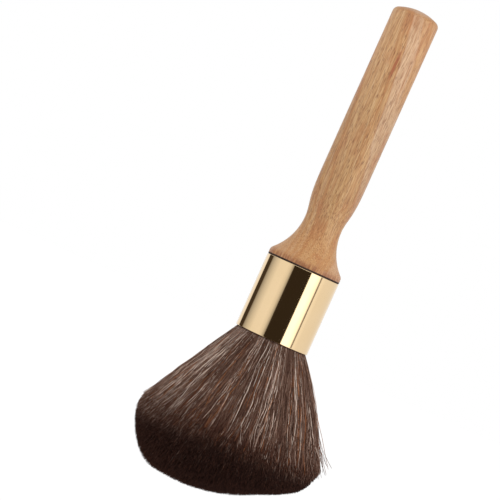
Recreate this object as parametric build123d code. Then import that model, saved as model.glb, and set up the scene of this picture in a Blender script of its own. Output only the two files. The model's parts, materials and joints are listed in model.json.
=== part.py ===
from build123d import *
import os
from math import cos, radians, sin, sqrt

# Neck duster brush: a turned beech handle, a gold-plated ferrule and a flared head of soft fibre.
# Millimetres. The brush stands along Z, handle up, fibre tips down.
# The origin is on the axis, level with the lowest fibre tips.

# Heights along the axis
MOUTH_Z = 66.0  # lower end of the ferrule, where the fibres leave it
FERRULE_LENGTH = 31.0
FERRULE_TOP_Z = MOUTH_Z + FERRULE_LENGTH
HANDLE_TOP_Z = 210.0

# Ferrule: a thin drawn tube, plain at both ends
FERRULE_RADIUS = 15.5
FERRULE_WALL = 0.5
BORE_RADIUS = FERRULE_RADIUS - FERRULE_WALL
FERRULE_EDGE = 0.2  # rounding of its two outer edges

# Handle
GRIP_RADIUS = 9.8
GRIP_BOTTOM_Z = 137.0  # the grip is straight from here up
WAIST_RADIUS = 7.95
WAIST_Z = 116.5
ABOVE_WAIST = (8.95, 123.5)  # radius and height on the swell between waist and grip
FLARE_RADIUS = 22.6  # hollow curve from the waist out to the shoulder
FLARE_TURN = 45.8  # degrees that the hollow curve turns through
RIM_RADIUS = 15.45  # the shoulder's widest, just inside the ferrule's outer radius
RIM_CHAMFER = 0.3  # makes the fine dark seam above the ferrule
END_DOME_RADIUS = 20.6
END_ROUNDING = 2.5

# Spigot: the end of the handle that is glued into the ferrule
SPIGOT_LENGTH = 11.0
SPIGOT_RADIUS = BORE_RADIUS - 0.2
SPIGOT_CHAMFER = 0.8
GROOVE_DEPTH = 0.6
GROOVE_WIDTH = 1.2
GROOVE_HEIGHTS = (3.2, 6.8)  # above the spigot's lower end
GLUE_INSET = 0.3  # the glue film stops this far short of each end of the spigot

# Knot: the fibres' root ends, tied with thread and set in resin inside the ferrule
KNOT_TOP_Z = 80.0
KNOT_NECK_RADIUS = 13.8
KNOT_NECK_Z = 75.5
KNOT_SHOULDER_Z = 74.3
RESIN_TOP_Z = 85.6
RESIN_SKIRT = 0.6  # how far the resin runs down around the root ends
THREAD_DIAMETER = 0.9
THREAD_PITCH = 0.8
THREAD_TURNS = 4

# Fibre head: sixteen tufts, each a slice of the flared, domed head
TUFT_COUNT = 16
TUFT_TOP_Z = MOUTH_Z - 0.5  # the tufts bend just below the mouth
HEAD_FLARE = 31.0  # degrees from the axis to the side of the head
TIP_DOME_RADIUS = 66.0  # the tips lie on a sphere about the middle of the mouth
TIP_CORNER = 12.0  # rounding where the side meets the tips
TUFT_GAP = 0.4  # free space between neighbouring tufts


def turned(section):
    """The solid of revolution of a section drawn as (radius, height)."""
    return revolve(Plane.XZ * section, Axis.Z)


def wall_section(outer, inner, bottom, top):
    """The rectangle that turns into a plain ring about the axis."""
    return Pos((outer + inner) / 2, (top + bottom) / 2) * Rectangle(outer - inner, top - bottom)


def tube(outer, inner, bottom, top):
    """A plain ring about the axis."""
    return turned(wall_section(outer, inner, bottom, top))


def make_handle():
    """Domed end, straight grip, narrow waist, flared shoulder, and a grooved spigot below it."""
    spigot_z = FERRULE_TOP_Z - SPIGOT_LENGTH
    flare_end_radius = WAIST_RADIUS + FLARE_RADIUS * (1 - cos(radians(FLARE_TURN)))
    shoulder_radius = (RIM_RADIUS - flare_end_radius) / (1 - cos(radians(FLARE_TURN)))
    corner_z = HANDLE_TOP_Z - END_DOME_RADIUS + sqrt(END_DOME_RADIUS**2 - GRIP_RADIUS**2)

    flare = JernArc((WAIST_RADIUS, WAIST_Z), (0, -1), FLARE_RADIUS, FLARE_TURN)
    shoulder = JernArc(flare @ 1, flare % 1, shoulder_radius, -FLARE_TURN)
    foot = Polyline(
        shoulder @ 1,
        (RIM_RADIUS, FERRULE_TOP_Z + RIM_CHAMFER),
        (RIM_RADIUS - RIM_CHAMFER, FERRULE_TOP_Z),
        (SPIGOT_RADIUS, FERRULE_TOP_Z),
        (SPIGOT_RADIUS, spigot_z + SPIGOT_CHAMFER),
        (SPIGOT_RADIUS - SPIGOT_CHAMFER, spigot_z),
        (0, spigot_z),
        (0, HANDLE_TOP_Z),
    )
    end = RadiusArc((0, HANDLE_TOP_Z), (GRIP_RADIUS, corner_z), END_DOME_RADIUS)
    grip = Line((GRIP_RADIUS, corner_z), (GRIP_RADIUS, GRIP_BOTTOM_Z))
    swell = Spline(
        (GRIP_RADIUS, GRIP_BOTTOM_Z),
        ABOVE_WAIST,
        (WAIST_RADIUS, WAIST_Z),
        tangents=[(0, -1), (0, -1)],
    )
    section = make_face(Curve() + [flare, shoulder, foot, end, grip, swell])
    corner = section.vertices().sort_by_distance((GRIP_RADIUS, corner_z))[0]
    handle = turned(fillet(corner, END_ROUNDING))
    for height in GROOVE_HEIGHTS:
        bottom = spigot_z + height
        handle -= tube(BORE_RADIUS, SPIGOT_RADIUS - GROOVE_DEPTH, bottom, bottom + GROOVE_WIDTH)
    return handle


def make_ferrule():
    """A straight thin tube that joins the handle to the knot of fibres."""
    section = wall_section(FERRULE_RADIUS, BORE_RADIUS, MOUTH_Z, FERRULE_TOP_Z)
    outer_corners = section.vertices().group_by(Axis.X)[-1]
    return turned(fillet(outer_corners, FERRULE_EDGE))


def make_spigot_glue(handle):
    """The cured adhesive between the spigot and the ferrule, with the ribs that fill the grooves."""
    bottom = FERRULE_TOP_Z - SPIGOT_LENGTH + SPIGOT_CHAMFER + GLUE_INSET
    film = tube(BORE_RADIUS, SPIGOT_RADIUS - GROOVE_DEPTH, bottom, FERRULE_TOP_Z - GLUE_INSET)
    return film - handle


def make_knot_resin():
    """The cast plug that holds the root ends, with a short skirt around them."""
    plug = tube(BORE_RADIUS, 0, KNOT_TOP_Z, RESIN_TOP_Z)
    return plug + tube(BORE_RADIUS, KNOT_NECK_RADIUS, KNOT_TOP_Z - RESIN_SKIRT, KNOT_TOP_Z)


def make_binding_thread():
    """Close turns of thread around the neck of the knot."""
    middle = (KNOT_NECK_Z + KNOT_TOP_Z - RESIN_SKIRT) / 2
    first = middle - THREAD_PITCH * (THREAD_TURNS - 1) / 2
    radius = KNOT_NECK_RADIUS + THREAD_DIAMETER / 2
    turns = [Pos(radius, first + i * THREAD_PITCH) * Circle(THREAD_DIAMETER / 2) for i in range(THREAD_TURNS)]
    return turned(Sketch() + turns)


def make_fibre_roots():
    """The packed, unbending part of the fibres inside the ferrule."""
    outline = Polyline(
        (0, MOUTH_Z),
        (BORE_RADIUS, MOUTH_Z),
        (BORE_RADIUS, KNOT_SHOULDER_Z),
        (KNOT_NECK_RADIUS, KNOT_NECK_Z),
        (KNOT_NECK_RADIUS, KNOT_TOP_Z),
        (0, KNOT_TOP_Z),
        close=True,
    )
    return turned(make_face(outline))


def make_head():
    """The whole fibre head below the mouth: flared side, rounded corner and domed tips."""
    flare = radians(HEAD_FLARE)
    # Along the side from the top, the distance at which it meets the tip sphere
    across = BORE_RADIUS * sin(flare) + (MOUTH_Z - TUFT_TOP_Z) * cos(flare)
    offset = BORE_RADIUS**2 + (MOUTH_Z - TUFT_TOP_Z) ** 2 - TIP_DOME_RADIUS**2
    side = sqrt(across**2 - offset) - across
    corner = (BORE_RADIUS + side * sin(flare), TUFT_TOP_Z - side * cos(flare))
    straight = Polyline((0, MOUTH_Z - TIP_DOME_RADIUS), (0, TUFT_TOP_Z), (BORE_RADIUS, TUFT_TOP_Z), corner)
    tips = RadiusArc(corner, (0, MOUTH_Z - TIP_DOME_RADIUS), TIP_DOME_RADIUS)
    section = make_face(Curve() + [straight, tips])
    sharp = section.vertices().sort_by_distance(corner)[0]
    return turned(fillet(sharp, TIP_CORNER))


def make_tuft(head):
    """One slice of the head, centred on +X, with half the gap taken off each side."""
    half_turn = 180 / TUFT_COUNT
    reach = 2 * TIP_DOME_RADIUS
    tip_x = TUFT_GAP / 2 / sin(radians(half_turn))
    far = reach * sin(radians(half_turn))
    far_x = tip_x + reach * cos(radians(half_turn))
    outline = Polyline((tip_x, 0), (far_x, -far), (far_x, far), close=True)
    return head & extrude(make_face(outline), MOUTH_Z)


def main():
    os.makedirs("parts", exist_ok=True)
    handle = make_handle()
    pieces = {
        "handle": handle,
        "ferrule": make_ferrule(),
        "spigot_glue": make_spigot_glue(handle),
        "knot_resin": make_knot_resin(),
        "binding_thread": make_binding_thread(),
        "fibre_roots": make_fibre_roots(),
    }
    tuft = make_tuft(make_head())
    for i in range(TUFT_COUNT):
        pieces[f"tuft_{i + 1:02d}"] = Rot(0, 0, i * 360 / TUFT_COUNT) * tuft
    for name, piece in pieces.items():
        export_step(piece, f"parts/{name}.step")


main()
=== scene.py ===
"""Neck duster brush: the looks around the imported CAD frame.

The brush stands along Z with its fibre tips at the origin. Lengths are in metres; a few shader
settings work in millimetres, where the name or a comment says so.
"""

import json
import math

import bpy
import numpy as np
from mathutils import Matrix, Vector


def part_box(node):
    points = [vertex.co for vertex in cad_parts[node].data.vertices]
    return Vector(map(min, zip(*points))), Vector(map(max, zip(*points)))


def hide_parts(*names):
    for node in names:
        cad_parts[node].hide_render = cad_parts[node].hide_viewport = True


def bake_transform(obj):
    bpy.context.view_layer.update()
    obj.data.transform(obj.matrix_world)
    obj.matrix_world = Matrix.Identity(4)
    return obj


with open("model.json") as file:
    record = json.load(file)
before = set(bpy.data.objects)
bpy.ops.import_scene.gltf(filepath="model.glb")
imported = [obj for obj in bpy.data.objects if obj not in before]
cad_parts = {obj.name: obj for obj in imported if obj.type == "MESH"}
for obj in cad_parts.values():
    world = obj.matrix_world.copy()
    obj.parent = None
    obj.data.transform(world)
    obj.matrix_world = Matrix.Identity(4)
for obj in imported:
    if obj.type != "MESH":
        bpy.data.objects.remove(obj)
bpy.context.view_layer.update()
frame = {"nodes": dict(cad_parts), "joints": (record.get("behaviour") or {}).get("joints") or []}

MM = 0.001

# Places read from the frame
MOUTH_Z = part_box("ferrule")[0].z
FERRULE_TOP_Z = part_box("ferrule")[1].z
HANDLE_TOP_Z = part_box("handle")[1].z
BORE_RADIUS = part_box("fibre_roots")[1].x
JOINTS = sorted(frame["joints"], key=lambda j: j["child"])
TUFT_COUNT = len(JOINTS)

# Wood, in millimetres: the pith that the growth layers lie around, and the red-brown mark
PITH_SHIFT = (60, -8, 0)
MARK_CENTRE = (0.0, -9.8, 185.5)
MARK_STRETCH = (1.15, 0.3, 0.115)
MARK_SHIFT = [-c * k for c, k in zip(MARK_CENTRE, MARK_STRETCH)]

# Fibre head
WISPS_PER_TUFT = 285  # small bundles of fibres that lie together
STRANDS_PER_WISP = 10
LOCK_COUNT = 1200  # larger locks of wisps that lean and wave together, over the whole head
LOCK_PULL = 0.4  # the most that the tips of a wisp move towards the middle of their lock
LOCK_TURNS = (0.9, 2.3)  # slow waves along a lock
WISP_SPREAD = (0.012, 0.05)  # of a wisp's tips, in the unit disc
STRAY_SHARE = 0.12  # of the strands, which cross their neighbours
STRAY_SPREAD = 0.11  # of their tips, in the unit disc
SHORT_SHARE = 0.04  # of the strands, which end inside the head
STRAND_RADIUS = 0.106 * MM
ROOT_RADIUS = BORE_RADIUS - 0.35 * MM
ROOT_DEPTH = 3.5 * MM  # how far the strands start above the mouth
HEAD_REACH = 66.2 * MM  # from the middle of the mouth to the tips
HEAD_SPREAD = (42.7, 0.4)  # degrees from the axis to the outermost tips, and added on the +X side
CORNER_START = 27.6  # degrees from the axis, where the tips start to fall back to the side
CORNER_SHIFT = 5.6  # degrees by which that starts later on the +X side and sooner on the -X side
CORNER_FALL = 0.18 * MM  # for the first degree past the start
LEAN = 0.061  # how much longer the head is on its -X side, as a share of the reach
SIDE_BULGE = (0.5 * MM, 0.8 * MM)  # all round, and added on the +X side or taken off on the -X side
RIM_UNEVEN = 4.5 * MM  # how much shorter strands may end near the rim of the dome
CORNER_ROUNDING = 1.5 * MM  # how much shorter the outermost strands are on the -X side
LOOSE_SHARE = 0.012  # of the outermost strands on the +X side
WAVE = 0.65 * MM  # half the width of the slow waves that a lock shares, at its tip
CRIMP = 0.30 * MM  # half the width of each strand's own short waves
BOW = 0.95 * MM  # typical sag of a strand to one side
RINGS = 12  # points along a strand, below the mouth
RING_PLACES = np.append(np.linspace(0, 0.93, RINGS - 2), [0.985, 1.0])  # as shares of its length
LONGEST = 70 * MM  # the strand length that the UV layout has room for
DYE_REACH = 0.905  # V at the tip of a middling strand, where 1 is LONGEST
DYE_UNEVEN = 1.6 * MM  # typical difference between where strands turn dark
RIM_LIGHT_SHIFT = 5.5 * MM  # painted rim light: how much later the dark tips start on the palest side
STRAND_SIDES = 3
SHADE_WIDTH = 0.004  # of the UV layout, which each strand covers in the direction of its shade
UV_EDGE = 0.005  # of the UV layout, left free all round

# Studio
FLOOR_Z = -0.10
FLOOR_HALF_WIDTH = 6.0
DRUM_RADIUS = 0.52
DRUM_TOP = 0.75
DRUM_SIDES = 96
DRUM_FADE = (150, 230)  # millimetres, the heights between which the bands fade to plain grey
BRIGHTEST = 2.0  # of the bands below
BANDS = [  # degrees from -Y towards +X, and brightness
    (-180, 0.05), (-173, 0.05), (-172, 1.0), (-134, 1.0), (-132, 0.06), (-112, 0.06), (-108, 0.40),
    (-92, 0.70), (-72, 0.98), (-46, 1.0), (-36, 0.85), (-31, 0.58), (-28, 0.42), (-27, 0.035),
    (27, 0.035), (28, 2.0), (44, 2.0), (58, 1.55), (60.5, 0.95), (61.5, 0.25), (65, 0.25),
    (66, 1.12), (80, 0.97), (130, 0.92), (172, 1.0), (173, 0.05),
]  # fmt: skip
KEY_SIZE = 0.5
KEY_WATTS = 1.5
KEY_DISTANCE = 1.0
KEY_DIRECTION = (62, 20)  # degrees from -Y towards +X, and above the horizon

# Camera
LENS = 200  # millimetres, on a sensor 36 mm wide
SENSOR_WIDTH = 36
VIEW_WIDTH = 0.200
VIEW_CENTRE = (-0.0225, 0, FERRULE_TOP_Z - 1.9 * MM)
ROLL = -24.2  # degrees


def linear(r, g, b):
    """An sRGB colour from 0 to 255 as linear RGBA."""
    parts = [c / 255 for c in (r, g, b)]
    return [c / 12.92 if c <= 0.04045 else ((c + 0.055) / 1.055) ** 2.4 for c in parts] + [1.0]


# ---------------------------------------------------------------- shader helpers


class Shader:
    """A short way to write a node tree."""

    def __init__(self, name):
        self.material = bpy.data.materials.new(name)
        self.material.use_nodes = True
        self.tree = self.material.node_tree
        self.surface = self.tree.nodes["Principled BSDF"]

    def node(self, kind, inputs=None, **settings):
        """A new node, with its settings and inputs filled in."""
        made = self.tree.nodes.new(kind)
        for key, value in settings.items():
            setattr(made, key, value)
        for key, value in (inputs or {}).items():
            self.put(made.inputs[key], value)
        return made

    def put(self, socket, value):
        """Links another node's output to a socket, or writes a constant on it."""
        if isinstance(value, bpy.types.NodeSocket):
            self.tree.links.new(value, socket)
        else:
            socket.default_value = value

    def set(self, **values):
        """Fills in the surface shader's sockets; _ in a name stands for a space."""
        for key, value in values.items():
            self.put(self.surface.inputs[key.replace("_", " ")], value)

    def math(self, operation, a, b=0.0, clamp=False):
        return self.node("ShaderNodeMath", {0: a, 1: b}, operation=operation, use_clamp=clamp).outputs[0]

    def span(self, value, low, high, to_low=0.0, to_high=1.0):
        """A smooth step from to_low at low to to_high at high."""
        inputs = {"Value": value, "From Min": low, "From Max": high, "To Min": to_low, "To Max": to_high}
        return self.node("ShaderNodeMapRange", inputs, interpolation_type="SMOOTHSTEP").outputs["Result"]

    def mix(self, factor, a, b, blend="MIX"):
        made = self.node("ShaderNodeMix", data_type="RGBA", blend_type=blend)
        self.put(made.inputs["Factor"], factor)
        self.put(made.inputs[6], a)
        self.put(made.inputs[7], b)
        return made.outputs[2]

    def ramp(self, value, stops):
        """A colour ramp; stops are (place, colour) in rising order of place."""
        made = self.node("ShaderNodeValToRGB", {"Fac": value})
        elements = made.color_ramp.elements
        elements.remove(elements[-1])
        elements[0].position, elements[0].color = stops[0]
        for place, colour in stops[1:]:
            elements.new(place).color = colour
        return made.outputs["Color"]

    def millimetres(self, scale=(1, 1, 1), shift=(0, 0, 0)):
        """Object coordinates in millimetres, stretched by scale."""
        place = self.node("ShaderNodeTexCoord").outputs["Object"]
        inputs = {"Vector": place, "Scale": [1000 * s for s in scale], "Location": shift}
        return self.node("ShaderNodeMapping", inputs).outputs[0]

    def noise(self, vector, scale=1.0, detail=2.0, roughness=0.5, distortion=0.0):
        inputs = {"Vector": vector, "Scale": scale, "Detail": detail}
        inputs.update({"Roughness": roughness, "Distortion": distortion})
        return self.node("ShaderNodeTexNoise", inputs).outputs["Fac"]

    def bump(self, height, strength, distance):
        inputs = {"Height": height, "Strength": strength, "Distance": distance}
        self.set(Normal=self.node("ShaderNodeBump", inputs).outputs["Normal"])

    def length(self, vector):
        return self.node("ShaderNodeVectorMath", {0: vector}, operation="LENGTH").outputs["Value"]


# ---------------------------------------------------------------- materials


def beech():
    """Clear-finished beech: growth layers, warm streaks, short dark pores and fine lengthwise fibre."""
    s = Shader("beech")
    split = s.node("ShaderNodeSeparateXYZ", {0: s.millimetres()})
    height = split.outputs["Z"]

    # Growth layers lie around a pith far off on the -X side and lean along the handle
    layer = s.length(s.millimetres((1, 1, 0), PITH_SHIFT))
    layer = s.math("ADD", layer, s.math("MULTIPLY", height, 0.10))
    swell = s.math("SUBTRACT", s.noise(s.millimetres((0.07, 0.07, 0.022)), detail=1.5), 0.5)
    layer = s.math("ADD", layer, s.math("MULTIPLY", swell, 6.0))
    ripple = s.math("SUBTRACT", s.noise(s.millimetres((0.5, 0.5, 0.09)), detail=2.0), 0.5)
    layer = s.math("ADD", layer, s.math("MULTIPLY", ripple, 1.1))

    sequence = s.node("ShaderNodeCombineXYZ", {0: s.math("MULTIPLY", layer, 0.42)}).outputs[0]
    body = s.ramp(
        s.noise(sequence, detail=2.0, roughness=0.6),
        [
            (0.30, linear(198, 132, 78)),
            (0.42, linear(214, 160, 104)),
            (0.54, linear(224, 178, 124)),
            (0.66, linear(220, 174, 136)),
        ],
    )
    pale = s.span(s.math("ABSOLUTE", s.math("SUBTRACT", layer, 84.6)), 2.7, 1.5)
    body = s.mix(s.math("MULTIPLY", pale, 0.62), body, linear(228, 192, 158))
    body = s.mix(s.span(layer, 86.0, 88.6, 0.0, 0.5), body, linear(200, 138, 86))

    # Late growth: a thin warm line that ends each layer
    ring = s.math("FRACT", s.math("DIVIDE", layer, 3.3))
    late = s.math("MULTIPLY", s.span(ring, 0.60, 0.95), s.span(ring, 1.0, 0.96))
    patchy = s.span(s.noise(s.millimetres((0.3, 0.3, 0.04), shift=(4, 9, 2)), detail=2.0), 0.35, 0.65)
    body = s.mix(s.math("MULTIPLY", late, s.math("MULTIPLY", patchy, 0.6)), body, linear(190, 122, 62))

    # Orange streaks and patches
    streak = s.span(s.noise(s.millimetres((0.55, 0.55, 0.03), shift=(7, 5, 2)), detail=3.0), 0.58, 0.72)
    body = s.mix(s.math("MULTIPLY", streak, 0.55), body, linear(190, 118, 62))
    blush = s.span(s.noise(s.millimetres((0.16, 0.16, 0.06), shift=(1, 2, 8)), detail=3.0), 0.52, 0.70)
    body = s.mix(s.math("MULTIPLY", blush, 0.60), body, linear(198, 126, 76))

    fibre = s.noise(s.millimetres((2.8, 2.8, 0.11)), detail=4.0, roughness=0.7)
    body = s.mix(s.span(fibre, 0.40, 0.66, 0.0, 0.68), body, linear(174, 118, 70))
    body = s.mix(s.span(fibre, 0.43, 0.28, 0.0, 0.60), body, linear(244, 208, 164))
    dash = s.noise(s.millimetres((3.0, 3.0, 0.26), shift=(3, 3, 3)), detail=1.0)
    body = s.mix(s.span(dash, 0.56, 0.70, 0.0, 0.62), body, linear(150, 95, 52))

    # One red-brown mark on the grip
    away = s.length(s.millimetres(MARK_STRETCH, MARK_SHIFT))
    mark = s.math("ADD", away, s.math("MULTIPLY", ripple, 1.4))
    body = s.mix(s.span(mark, 0.95, 0.30, 0.0, 0.80), body, linear(170, 84, 42))

    # Pores: fine short dark dashes along the grain
    cells = s.node("ShaderNodeTexVoronoi", {"Vector": s.millimetres((2.8, 2.8, 0.34)), "Scale": 1.0})
    depth = s.node("ShaderNodeSeparateColor", {0: cells.outputs["Color"]}).outputs[0]
    pore = s.math("MULTIPLY", s.span(cells.outputs["Distance"], 0.40, 0.15), s.span(depth, 0.1, 0.9))
    body = s.mix(s.math("MULTIPLY", pore, 0.80), body, linear(122, 72, 38))

    # The wood is paler towards the domed end and the ferrule, and deepest just above the waist
    tone = s.ramp(
        s.math("DIVIDE", height, 1000 * HANDLE_TOP_Z),
        [
            (0.46, (0.88, 0.87, 0.83, 1)),
            (0.54, (0.75, 0.74, 0.68, 1)),
            (0.62, (0.71, 0.70, 0.64, 1)),
            (0.78, (0.76, 0.76, 0.73, 1)),
            (0.92, (0.86, 0.86, 0.86, 1)),
        ],
    )
    body = s.mix(1.0, body, tone, "MULTIPLY")

    # Warm end grain where the shoulder turns in above the ferrule
    warmth = s.span(height, 1000 * FERRULE_TOP_Z + 24.0, 1000 * FERRULE_TOP_Z + 8.0, 0.0, 0.26)
    body = s.mix(warmth, body, linear(184, 120, 50))
    # Painted shade in the neck just above the ferrule, mottled by noise
    painted_shoulder_shade = s.span(height, 1000 * FERRULE_TOP_Z + 4.0, 1000 * FERRULE_TOP_Z + 1.2)
    shoulder_shade_mottle = s.span(s.noise(s.millimetres((1.1, 1.1, 0.2), shift=(5, 1, 4)), detail=3.0), 0.36, 0.60)
    painted_shoulder_shade = s.math("MULTIPLY", painted_shoulder_shade, s.math("ADD", s.math("MULTIPLY", shoulder_shade_mottle, 0.55), 0.22))
    body = s.mix(painted_shoulder_shade, body, linear(132, 72, 36))

    # Painted shade as a dark line on the wood at the ferrule, and darker end grain on the domed end
    painted_seam_shade = s.span(height, 1000 * FERRULE_TOP_Z + 0.85, 1000 * FERRULE_TOP_Z + 0.55, 0.0, 0.97)
    body = s.mix(painted_seam_shade, body, linear(40, 18, 9))
    end = s.span(height, 1000 * HANDLE_TOP_Z - 3.6, 1000 * HANDLE_TOP_Z - 2.4, 0.0, 0.42)
    body = s.mix(end, body, linear(172, 116, 60))

    s.set(Base_Color=body, Roughness=s.math("MAXIMUM", s.span(fibre, 0.3, 0.8, 0.38, 0.52), painted_seam_shade))
    s.bump(s.math("SUBTRACT", fibre, s.math("MULTIPLY", pore, 1.5)), 0.3, 0.12 * MM)
    return s.material


def gold_plate():
    """Bright gold plate with the faint lengthwise draw marks of the tube."""
    s = Shader("gold_plate")
    marks = s.noise(s.millimetres((5.0, 5.0, 0.05)), detail=3.0)
    cloud = s.noise(s.millimetres((0.12, 0.12, 0.12)), detail=2.0)
    colour = s.mix(cloud, linear(236, 206, 160), linear(239, 211, 169))
    s.set(Base_Color=colour, Roughness=s.span(marks, 0.3, 0.7, 0.045, 0.085), Metallic=1.0)
    s.bump(marks, 0.02, 0.02 * MM)
    return s.material


def fibre():
    """Soft synthetic hair, coloured strand by strand and darker towards the dyed tips; painted shade
    darkens the roots at the mouth and the ends of the dome.
    """
    s = Shader("fibre")
    place = s.node("ShaderNodeUVMap", uv_map="OFBake").outputs["UV"]
    split = s.node("ShaderNodeSeparateXYZ", {0: place})
    shade, along = split.outputs["X"], split.outputs["Y"]
    strand = s.ramp(
        shade,
        [
            (0.00, linear(56, 35, 28)),
            (0.35, linear(128, 97, 82)),
            (0.65, linear(190, 160, 143)),
            (0.82, linear(232, 208, 192)),
            (0.90, linear(240, 221, 206)),
            (0.93, linear(184, 118, 74)),
            (1.00, linear(140, 84, 54)),
        ],
    )
    spot = {0: s.math("MULTIPLY", shade, 70), 1: s.math("MULTIPLY", along, 9)}
    mottle = s.noise(s.node("ShaderNodeCombineXYZ", spot).outputs[0])
    strand = s.mix(s.span(mottle, 0.44, 0.60, 0.0, 0.62), strand, linear(88, 62, 52))
    # Every shade keeps its own distance to the dark tips
    apart = s.node("ShaderNodeCombineXYZ", {0: s.math("MULTIPLY", shade, 110)})
    own = s.math("MULTIPLY", s.math("SUBTRACT", s.noise(apart.outputs[0], detail=0.0), 0.5), 0.30)
    tip = s.ramp(
        s.math("ADD", along, own),
        [
            (0.48, (0.00, 0.00, 0.00, 1)),
            (0.62, (0.10, 0.10, 0.10, 1)),
            (0.74, (0.32, 0.32, 0.32, 1)),
            (0.82, (0.60, 0.60, 0.60, 1)),
            (0.88, (0.88, 0.88, 0.88, 1)),
            (0.93, (1.00, 1.00, 1.00, 1)),
        ],
    )
    # Painted shade at the ferrule's mouth: a dark band at the roots, fading out over the first 0.3 of V
    mouth = s.math("MAXIMUM", s.span(along, 0.03, 0.005, 0.0, 0.8), s.span(along, 0.30, 0.0, 0.0, 0.30))
    strand = s.mix(mouth, strand, linear(40, 25, 20))
    reddish = s.mix(1.0, strand, (1.0, 0.5, 0.35, 1), "MULTIPLY")
    # The darkest tip colour is partly dye and partly painted shade under the dome
    dark = s.mix(s.span(along, 0.82, 0.92), linear(66, 38, 29), linear(41, 28, 25))
    dye_and_painted_light = s.mix(0.06, dark, reddish)
    s.set(Base_Color=s.mix(tip, strand, dye_and_painted_light), Roughness=0.45, Specular_IOR_Level=0.01)
    return s.material


def hidden(name, low, high, roughness, scale):
    """A mottled material for a piece inside the ferrule."""
    s = Shader(name)
    patches = s.noise(s.millimetres((scale, scale, scale)), detail=3.0)
    rough = s.span(patches, 0.3, 0.7, roughness, roughness + 0.1)
    s.set(Base_Color=s.mix(patches, low, high), Roughness=rough)
    s.bump(patches, 0.2, 0.2 * MM)
    return s.material


# ---------------------------------------------------------------- fibre head


def column(values):
    """One value for each strand, shaped to go with (strand, ring, xyz)."""
    return values[:, None, None]


def reach(angle, azimuth):
    """Distance from the middle of the mouth to the tips, at an angle from the axis."""
    side = np.cos(azimuth)
    past = np.clip(np.degrees(angle) - CORNER_START - CORNER_SHIFT * side, 0, None)
    lean = np.minimum(1, angle / math.radians(20)) * side
    return HEAD_REACH * (1 - LEAN * lean) - CORNER_FALL * past**1.4


def painted_rim_light(azimuth):
    """Painted rim light, as a share: 1 on the -X side of the head, about a third on the +X side and 0 in
    front and behind.
    """
    return np.abs(np.cos(azimuth)) ** 1.2 * (0.65 - 0.35 * np.cos(azimuth))


def disc(azimuth, radius):
    """Points in the unit disc, which stands for the whole bundle seen from its end."""
    return np.stack([radius * np.cos(azimuth), radius * np.sin(azimuth)], -1)


def limited(place, most):
    """Points of the unit disc, drawn in to at most this radius."""
    radius = np.linalg.norm(place, axis=1)
    return place * (np.minimum(radius, most) / radius)[:, None]


def make_locks(rng):
    """The locks of the whole head; their wisps lean and wave together."""
    count = LOCK_COUNT
    radius = np.where(rng.random(count) < 0.7, np.sqrt(rng.random(count)), rng.uniform(0.93, 1, count))
    return {
        "place": disc(rng.uniform(0, 2 * math.pi, count), radius),
        "pull": rng.uniform(0.0, LOCK_PULL, count),
        "shift": rng.normal(0, 0.008, (count, 2)),
        "wave": rng.uniform(0, 2 * math.pi, count),
        "turns": rng.uniform(*LOCK_TURNS, count),
    }


def make_wisps(rng, centre, width, locks):
    """The wisps of one tuft: where they start and end in the unit disc, and their lock.

    Deeper in the head they are shared among more tufts, so that the splayed head has no gaps.
    """
    count = WISPS_PER_TUFT
    shell = 1 - 0.12 * rng.random(count) ** 1.3
    radius = np.where(rng.random(count) < 0.58, np.sqrt(rng.random(count)), shell)
    shared = np.minimum(1 / radius, 3.0)
    azimuth = centre + width * shared * (rng.random(count) - rng.random(count))
    start = disc(azimuth, radius)
    lock = np.argmin(((start[:, None] - locks["place"][None]) ** 2).sum(2), 1)
    end = start + (locks["place"][lock] - start) * locks["pull"][lock][:, None]
    end += locks["shift"][lock] + rng.normal(0, 0.022, (count, 2))
    return {"start": start, "end": end, "lock": lock, "spread": rng.uniform(*WISP_SPREAD, count)}


def strand_lengths(rng, edge, angle, azimuth):
    """Most strands reach the domed surface. They end unevenly near its rim, and a few are short."""
    count = len(edge)
    length = reach(angle, azimuth) * (1 - 0.008 * rng.random(count) ** 2)
    length -= np.where(edge > 0.9, RIM_UNEVEN, 0) * rng.random(count) ** 2
    outermost = np.clip((edge - 0.92) / 0.08, 0, 1.2) ** 2
    length -= CORNER_ROUNDING * outermost * (1 - np.cos(azimuth)) / 2
    short = rng.random(count) < SHORT_SHARE
    length[short] *= rng.uniform(0.8, 0.97, short.sum())
    return length


def strand_waves(rng, lock, locks, sideways, lift):
    """Offsets along strands: slow waves shared by a lock, then a crimp and a bow of their own."""
    count = len(lock)
    t = RING_PLACES[None, :, None]
    phase = locks["wave"][lock] + rng.normal(0, 0.6, count)
    turns = locks["turns"][lock] + rng.normal(0, 0.2, count)
    waves = 2 * math.pi * column(turns) * t + column(phase)
    offset = sideways * (np.sin(waves) * WAVE * t) + lift * (np.cos(1.3 * waves) * 0.6 * WAVE * t)

    crimp = 2 * math.pi * column(rng.uniform(2.6, 4.0, count)) * t
    crimp = np.sin(crimp + column(rng.uniform(0, 2 * math.pi, count)))
    offset += sideways * (crimp * CRIMP * np.minimum(1, 4 * t))
    bow = rng.normal(0, BOW, (2, count))
    arch = 4 * t * (1 - t)
    return offset + sideways * (column(bow[0]) * arch) + lift * (column(bow[1]) * arch * 0.3)


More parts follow.
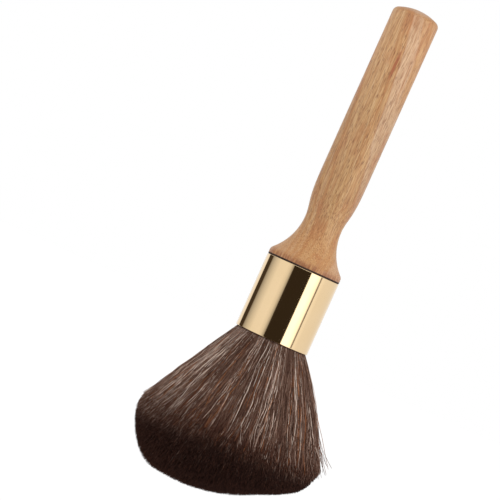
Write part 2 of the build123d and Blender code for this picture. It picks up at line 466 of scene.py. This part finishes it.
def dark_tip_heights(rng, edge, azimuth, length):
    """V at every ring: the way from the mouth as a share of LONGEST, with every last end dark."""
    count = len(edge)
    dye_and_painted_light = DYE_REACH * LONGEST + 0.5 * (length - np.median(length))
    # Painted rim light: the dark tips start later on the paler sides
    dye_and_painted_light += rng.normal(0, DYE_UNEVEN, count) - RIM_LIGHT_SHIFT * painted_rim_light(azimuth)
    heights = RING_PLACES * (dye_and_painted_light / LONGEST)[:, None]
    # The last ends go darkest on the dome, partly as painted shade, and less dark on the -X side as
    # painted rim light
    darkest = np.interp(edge, [0.8, 1.0], [1.0, 0.85]) - 0.07 * painted_rim_light(azimuth) * edge**4
    heights[:, -2:] = np.maximum(heights[:, -2:], darkest[:, None])
    return np.clip(np.concatenate([heights[:, :1], heights], 1), 0, 1)


def strand_lines(rng, wisps, locks):
    """Points along every strand of one tuft, as (strand, ring, xyz), and the V of each ring."""
    wisp = np.repeat(np.arange(WISPS_PER_TUFT), STRANDS_PER_WISP)
    lock = wisps["lock"][wisp]
    count = len(wisp)
    stray = rng.random(count) < STRAY_SHARE
    start = limited(wisps["start"][wisp] + rng.normal(0, 0.025, (count, 2)), 1.0)
    spread = np.where(stray, STRAY_SPREAD, wisps["spread"][wisp])
    end = limited(wisps["end"][wisp] + rng.normal(0, 1, (count, 2)) * spread[:, None], 1.012)

    edge = np.linalg.norm(end, axis=1)
    azimuth = np.arctan2(end[:, 1], end[:, 0])
    outward = np.stack([np.cos(azimuth), np.sin(azimuth), np.zeros(count)], 1)
    sideways = np.stack([-np.sin(azimuth), np.cos(azimuth), np.zeros(count)], 1)
    angle = np.radians(HEAD_SPREAD[0] + HEAD_SPREAD[1] * np.cos(azimuth)) * edge
    length = strand_lengths(rng, edge, angle, azimuth)
    root = np.stack([ROOT_RADIUS * start[:, 0], ROOT_RADIUS * start[:, 1], np.full(count, MOUTH_Z)], 1)
    tip = outward * (length * np.sin(angle))[:, None]
    tip[:, 2] = MOUTH_Z - length * np.cos(angle)

    along = (tip - root) / np.linalg.norm(tip - root, axis=1)[:, None]
    lift = np.cross(along, sideways)
    lift *= np.sign((lift * outward).sum(1))[:, None]
    sideways, lift = sideways[:, None], lift[:, None]
    bulge = (SIDE_BULGE[0] + SIDE_BULGE[1] * np.cos(azimuth)) * edge**2
    bulge += np.where(stray, rng.uniform(0, 0.6 * MM, count), 0)
    t = RING_PLACES[None, :, None]
    line = root[:, None] + (tip - root)[:, None] * t + lift * (column(bulge) * 4 * t * (1 - t))
    line += strand_waves(rng, lock, locks, sideways, lift)

    # A few loose strands stand off the +X side
    loose = (edge > 0.93) & (np.cos(azimuth) > 0.5) & (rng.random(count) < LOOSE_SHARE)
    escape = np.where(loose, rng.uniform(1.0 * MM, 6.0 * MM, count), 0) + rng.normal(0, 0.2 * MM, count)
    line += lift * (column(escape) * t**3)

    above = root + np.array([0, 0, ROOT_DEPTH])
    heights = dark_tip_heights(rng, edge, azimuth, length)
    return np.concatenate([above[:, None], line], 1), heights


def tube_points(lines, radii):
    """Three-sided rings around every line, then its tip: (strand, point, xyz)."""
    tangent = np.gradient(lines, axis=1)
    tangent /= np.linalg.norm(tangent, axis=2)[..., None]
    first = np.cross(tangent, np.array([0.31, 0.95, 0.02]))
    first /= np.linalg.norm(first, axis=2)[..., None]
    second = np.cross(tangent, first)
    body = lines.shape[1] - 1
    taper = radii[:, None] * np.interp(np.arange(body) / body, [0, 0.7, 1], [1, 1, 0.8])
    turn = (2 * math.pi * np.arange(STRAND_SIDES) / STRAND_SIDES)[:, None]
    ring = first[:, :body, None] * np.cos(turn) + second[:, :body, None] * np.sin(turn)
    tubes = lines[:, :body, None] + ring * taper[..., None, None]
    return np.concatenate([tubes.reshape(len(lines), -1, 3), lines[:, -1:]], 1)


def strand_faces(body):
    """The faces of one strand, with each corner's place round the strand and its ring."""
    sides = STRAND_SIDES
    faces, across, at_ring = [], [], []
    for i in range(body - 1):
        for j in range(sides):
            k = (j + 1) % sides
            faces.append([i * sides + j, i * sides + k, (i + 1) * sides + k, (i + 1) * sides + j])
            across.extend([j / sides, (j + 1) / sides, (j + 1) / sides, j / sides])
            at_ring.extend([i, i, i + 1, i + 1])
    last = (body - 1) * sides
    for j in range(sides):
        faces.append([last + j, last + (j + 1) % sides, body * sides])
        across.extend([j / sides, (j + 1) / sides, (j + 0.5) / sides])
        at_ring.extend([body - 1, body - 1, body])
    faces.append(list(range(sides))[::-1])
    across.extend([0.0, 1.0, 0.5])
    at_ring.extend([0, 0, 0])
    return faces, np.array(across), at_ring


def strand_mesh(name, lines, heights, radii, shades):
    """Thin closed tubes along the lines; U is the strand's shade and V its height at each ring."""
    points = tube_points(lines, radii)
    count, per_strand, _ = points.shape
    faces, across, at_ring = strand_faces(lines.shape[1] - 1)
    corners = np.array([corner for face in faces for corner in face])
    starts = np.cumsum([0] + [len(face) for face in faces[:-1]])
    all_corners = corners + (np.arange(count) * per_strand)[:, None]
    all_starts = starts + (np.arange(count) * len(corners))[:, None]

    mesh = bpy.data.meshes.new(name)
    mesh.vertices.add(count * per_strand)
    mesh.vertices.foreach_set("co", points.reshape(-1).astype(np.float32))
    mesh.loops.add(all_corners.size)
    mesh.loops.foreach_set("vertex_index", all_corners.reshape(-1).astype(np.int32))
    mesh.polygons.add(all_starts.size)
    mesh.polygons.foreach_set("loop_start", all_starts.reshape(-1).astype(np.int32))
    mesh.update(calc_edges=True)
    mesh.polygons.foreach_set("use_smooth", np.ones(all_starts.size, bool))

    layer = mesh.uv_layers.new(name="OFBake")
    u = UV_EDGE + (1 - 2 * UV_EDGE - SHADE_WIDTH) * shades[:, None] + SHADE_WIDTH * across
    v = UV_EDGE + (1 - 2 * UV_EDGE) * heights[:, at_ring]
    layer.data.foreach_set("uv", np.stack([u, v], 2).reshape(-1).astype(np.float32))
    mesh.validate()
    piece = bpy.data.objects.new(name, mesh)
    bpy.context.scene.collection.objects.link(piece)
    return piece


def pick_shades(rng, rim_light_share):
    """Shades from 0 to 1: browns, then pale strands, then red-brown ones; the share of painted rim light
    makes them paler.
    """
    kind = rng.random(len(rim_light_share))
    shade = rng.beta(1.4, 1.7, len(rim_light_share)) * (0.53 - 0.06 * rim_light_share) + 0.21 * rim_light_share
    shade = np.where(kind > 0.87 - 0.21 * rim_light_share, rng.uniform(0.70, 0.91, len(rim_light_share)), shade)
    return np.where(kind > 0.96, rng.uniform(0.93, 0.999, len(rim_light_share)), shade)


def strand_shades(rng, wisps):
    """Most strands have a shade of their own, the others their wisp's; painted rim light makes the sides
    paler.
    """
    azimuth = np.arctan2(wisps["start"][:, 1], wisps["start"][:, 0])
    rim_light_share = painted_rim_light(azimuth)
    each = np.repeat(rim_light_share, STRANDS_PER_WISP)
    shared = np.repeat(pick_shades(rng, rim_light_share), STRANDS_PER_WISP) + rng.normal(0, 0.03, len(each))
    shade = np.where(rng.random(len(each)) < 0.12, shared, pick_shades(rng, each))
    return np.clip(shade, 0, 0.999)


def fibre_head(material):
    """One mesh of strands for each tuft; neighbouring tufts share the ground between them."""
    rng = np.random.default_rng(20)
    locks = make_locks(rng)
    for joint in JOINTS:
        hinge = Vector(joint["pos_m"])
        wisps = make_wisps(rng, math.atan2(hinge.y, hinge.x), 2 * math.pi / TUFT_COUNT, locks)
        shades = strand_shades(rng, wisps)
        pale = (shades > 0.72) & (shades < 0.92)
        radii = STRAND_RADIUS * np.where(pale, 1.1, rng.uniform(0.85, 1.15, len(shades)))
        name = joint["child"].replace("tuft", "fibres")
        piece = strand_mesh(name, *strand_lines(rng, wisps, locks), radii, shades)
        piece.data.materials.append(material)
        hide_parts(joint["child"])
        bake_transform(piece)


# ---------------------------------------------------------------- studio


def white_room():
    """Even white light from everywhere, which is also the background."""
    world = bpy.data.worlds.new("white_room")
    bpy.context.scene.world = world
    world.use_nodes = True
    world.node_tree.nodes["Background"].inputs["Color"].default_value = (1, 1, 1, 1)


def staged(name, points, faces, material):
    """A mesh that belongs to the studio and not to the brush."""
    mesh = bpy.data.meshes.new(name)
    mesh.from_pydata(points, [], faces)
    mesh.materials.append(material)
    piece = bpy.data.objects.new(name, mesh)
    bpy.context.scene.collection.objects.link(piece)
    return piece


def floor():
    """A wide plain pale floor, some way below the brush."""
    s = Shader("floor")
    grain = s.noise(s.millimetres((0.02, 0.02, 0.02)))
    s.set(Base_Color=s.mix(grain, (0.90, 0.90, 0.90, 1), (0.92, 0.92, 0.92, 1)))
    s.set(Roughness=0.8, Specular_IOR_Level=0.0, Emission_Color=(1, 1, 1, 1), Emission_Strength=0.12)
    a = FLOOR_HALF_WIDTH
    corners = [(-a, -a, FLOOR_Z), (a, -a, FLOOR_Z), (a, a, FLOOR_Z), (-a, a, FLOOR_Z)]
    staged("floor", corners, [(0, 1, 2, 3)], s.material)


def reflector():
    """A tall drum, open at the top, that only reflections show. Its brightness changes round it,
    which puts long bands of light and dark along the polished ferrule."""
    s = Shader("reflector")
    split = s.node("ShaderNodeSeparateXYZ", {0: s.millimetres()})
    angle = s.math("ARCTAN2", split.outputs["X"], s.math("MULTIPLY", split.outputs["Y"], -1.0))
    place = s.math("ADD", s.math("DIVIDE", angle, 2 * math.pi), 0.5)
    grey = [(b / BRIGHTEST, b / BRIGHTEST, b / BRIGHTEST, 1) for _, b in BANDS]
    value = s.ramp(place, [((a + 180) / 360, colour) for (a, _), colour in zip(BANDS, grey)])
    value = s.mix(s.span(split.outputs["Z"], *DRUM_FADE), value, (0.42, 0.42, 0.42, 1))
    warm = s.mix(s.span(value, 0.2, 0.02), (1, 1, 1, 1), (1.0, 0.74, 0.5, 1))
    value = s.mix(1.0, value, warm, "MULTIPLY")
    light = s.node("ShaderNodeEmission", {"Color": value, "Strength": BRIGHTEST})
    s.put(s.tree.nodes["Material Output"].inputs["Surface"], light.outputs[0])

    n = DRUM_SIDES
    turns = [2 * math.pi * i / n for i in range(n)]
    rim = [(DRUM_RADIUS * math.sin(turn), -DRUM_RADIUS * math.cos(turn)) for turn in turns]
    bottom = FLOOR_Z + MM
    points = [(x, y, z) for z in (bottom, DRUM_TOP) for x, y in rim] + [(0, 0, bottom)]
    faces = [(i, (i + 1) % n, n + (i + 1) % n, n + i) for i in range(n)]
    faces += [(i, (i + 1) % n, 2 * n) for i in range(n)]
    drum = staged("reflector", points, faces, s.material)
    drum.visible_camera = False
    drum.visible_diffuse = False
    drum.visible_shadow = False


def key_light():
    """A square soft box in front on the right, a little above the brush."""
    data = bpy.data.lights.new("key", "AREA")
    data.size, data.energy = KEY_SIZE, KEY_WATTS
    across, up = [math.radians(degrees) for degrees in KEY_DIRECTION]
    away = Vector((math.sin(across) * math.cos(up), -math.cos(across) * math.cos(up), math.sin(up)))
    lamp = bpy.data.objects.new("key", data)
    lamp.location = Vector((0, 0, MOUTH_Z)) + away * KEY_DISTANCE
    lamp.rotation_euler = away.to_track_quat("Z", "Y").to_euler()
    bpy.context.scene.collection.objects.link(lamp)


def camera():
    """A long lens, level with the brush and rolled so that the handle leans to the right."""
    data = bpy.data.cameras.new("camera")
    data.lens = LENS
    data.sensor_width = SENSOR_WIDTH
    distance = VIEW_WIDTH * LENS / SENSOR_WIDTH
    place = Matrix.Translation(Vector(VIEW_CENTRE) - Vector((0, distance, 0)))
    roll = Matrix.Rotation(math.radians(ROLL), 4, "Y")
    level = Matrix.Rotation(math.radians(90), 4, "X")
    cam = bpy.data.objects.new("camera", data)
    cam.matrix_world = place @ roll @ level
    data.clip_start, data.clip_end = 0.01, 50
    bpy.context.scene.collection.objects.link(cam)
    bpy.context.scene.camera = cam


# ---------------------------------------------------------------- everything together


def dress(node, material):
    """Gives a CAD node its material."""
    mesh = frame["nodes"][node].data
    mesh.materials.clear()
    mesh.materials.append(material)


def main():
    dress("handle", beech())
    dress("ferrule", gold_plate())
    dress("spigot_glue", hidden("cured_glue", linear(214, 190, 140), linear(190, 160, 104), 0.25, 0.6))
    dress("knot_resin", hidden("cast_resin", linear(150, 104, 48), linear(110, 70, 30), 0.15, 0.3))
    dress("binding_thread", hidden("thread", linear(222, 212, 190), linear(190, 176, 148), 0.6, 3.0))
    dress("fibre_roots", hidden("packed_fibre", linear(44, 30, 24), linear(26, 17, 14), 0.6, 4.0))
    fibre_head(fibre())
    white_room()
    floor()
    reflector()
    key_light()
    camera()
    bpy.context.scene.view_settings.view_transform = "Standard"


main()
